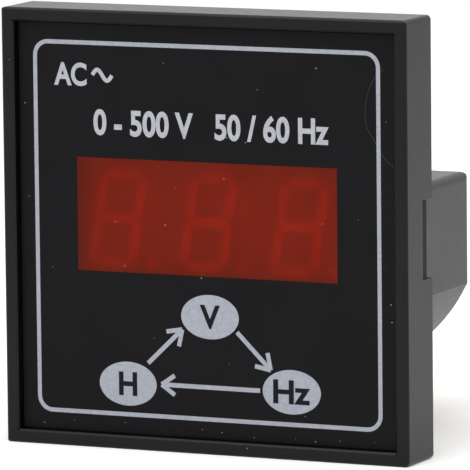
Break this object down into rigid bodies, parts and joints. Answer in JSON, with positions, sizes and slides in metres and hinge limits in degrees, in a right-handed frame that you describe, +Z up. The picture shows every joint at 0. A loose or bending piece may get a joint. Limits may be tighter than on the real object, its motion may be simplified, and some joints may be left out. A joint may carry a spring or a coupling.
{
  "type": "digital panel meter",
  "caption": "Square panel-mounting digital meter with a raised rim, red display window, round collar, flat-sided rear case and threaded stud terminals.",
  "frame": {"origin": "centre of the panel face, where the flange and the bezel's rear edge meet the panel", "axes": "+X to the viewer's right, +Z up, +Y back through the panel; the front faces -Y"},
  "size_m": [0.045, 0.0421, 0.045],
  "materials": {
    "bezel": "fine matt moulded black plastic",
    "faceplate": "matt black printed plate",
    "lens": "translucent red, smooth",
    "case": "matt moulded black plastic",
    "plated_steel": "nickel-plated",
    "brass": "machined",
    "display": "dark red filled face",
    "segments": "translucent red resin",
    "tinned": "tinned",
    "board": "green lacquer",
    "chip": "black moulded resin",
    "can": "drawn can",
    "film_box": "yellow box",
    "sleeve": "shrunk dark blue sleeve",
    "glass_bead": "orange glass bead",
    "resistor": "blue-grey flameproof coat",
    "chip_resistor": "black glaze",
    "chip_capacitor": "tan ceramic",
    "wire": "red insulation"
  },
  "bodies": {
    "root": {"front_bezel": "bezel", "faceplate": "faceplate", "window_lens": "lens", "rear_case": "case", "panel_studs": "plated_steel", "display_body": "display", "display_segments": "segments", "display_pins": "tinned", "main_board": "board", "board_screws": "plated_steel", "microcontroller": "chip", "memory_chip": "chip", "crystal": "can", "dropper_capacitor": "film_box", "smoothing_capacitor": "sleeve", "bridge_rectifier": "chip", "zener_diode": "glass_bead", "fusible_resistor": "resistor", "digit_transistors": "chip", "segment_resistors": "chip_resistor", "chip_capacitors": "chip_capacitor", "terminal_studs": "brass", "solder_tags": "tinned", "lead_wires": "wire", "terminal_washers": "brass", "terminal_spring_washers": "plated_steel", "terminal_nuts": "brass"}
  },
  "joints": []
}
